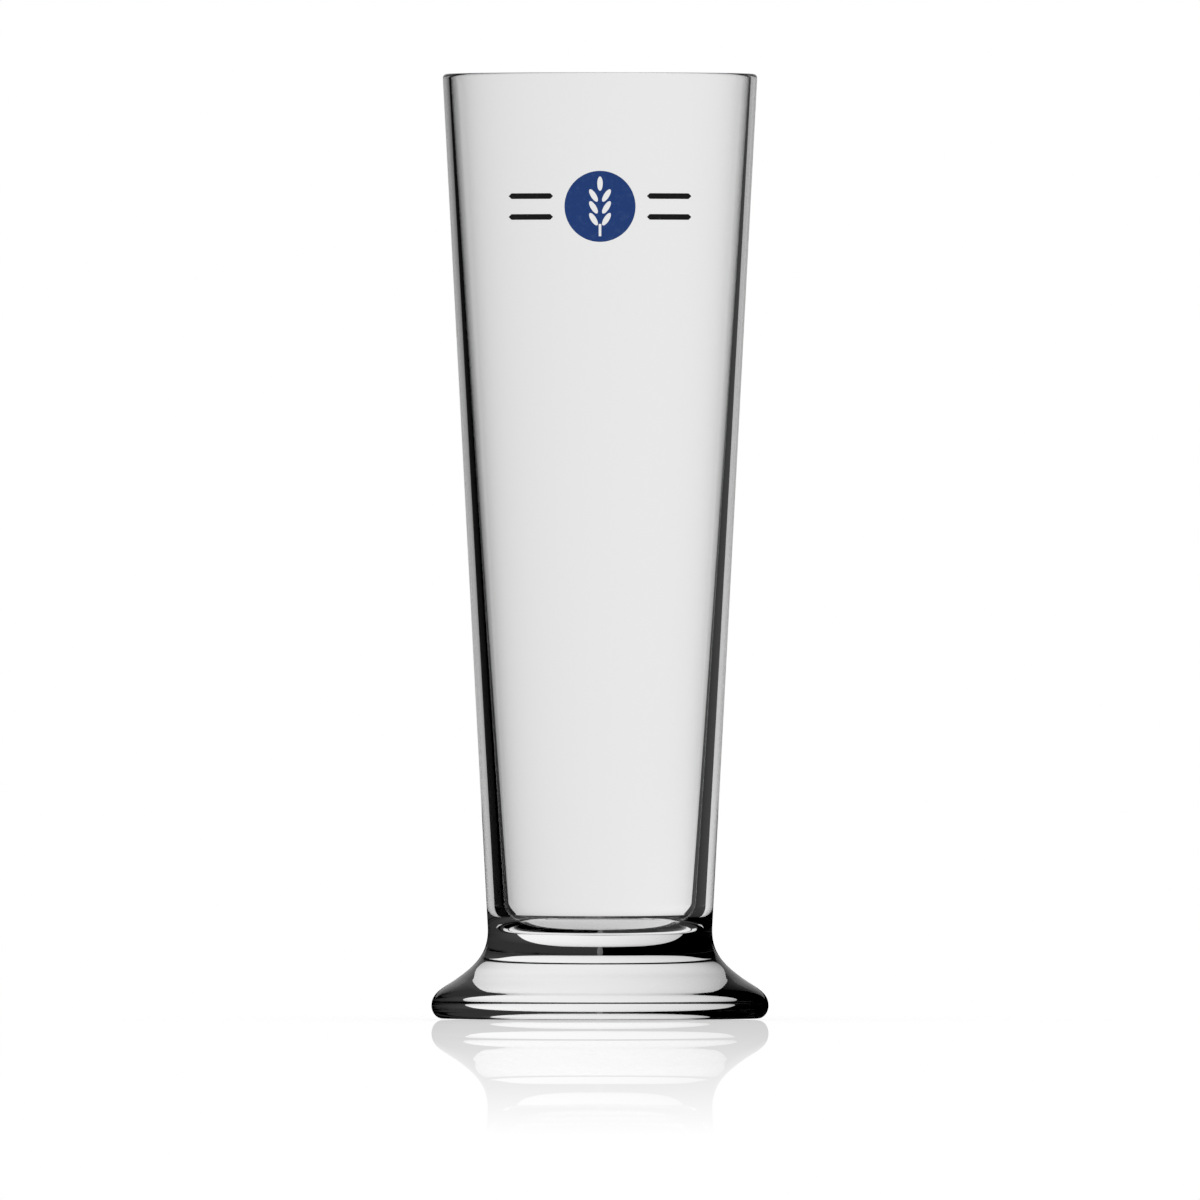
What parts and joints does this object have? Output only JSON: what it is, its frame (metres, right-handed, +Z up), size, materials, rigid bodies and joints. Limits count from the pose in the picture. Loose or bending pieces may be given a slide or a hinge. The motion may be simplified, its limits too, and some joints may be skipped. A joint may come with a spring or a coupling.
{
  "type": "stange glass",
  "caption": "Tall slim beer glass: a straight tapered clear bowl on a flared solid foot, with a small blue and black enamel ornament near the lip.",
  "frame": {"origin": "middle of the flat underside, at the table", "axes": "+Z up along the glass's axis; the ornament faces -Y"},
  "size_m": [0.0714, 0.0714, 0.2],
  "materials": {
    "clear_glass": "polished",
    "blue_enamel": "fired enamel, glossy",
    "black_enamel": "fired enamel, glossy"
  },
  "bodies": {
    "root": {"bowl": "clear_glass", "foot": "clear_glass", "enamel_roundel": "blue_enamel", "enamel_rule_upper_left": "black_enamel", "enamel_rule_lower_left": "black_enamel", "enamel_rule_upper_right": "black_enamel", "enamel_rule_lower_right": "black_enamel"}
  },
  "joints": []
}
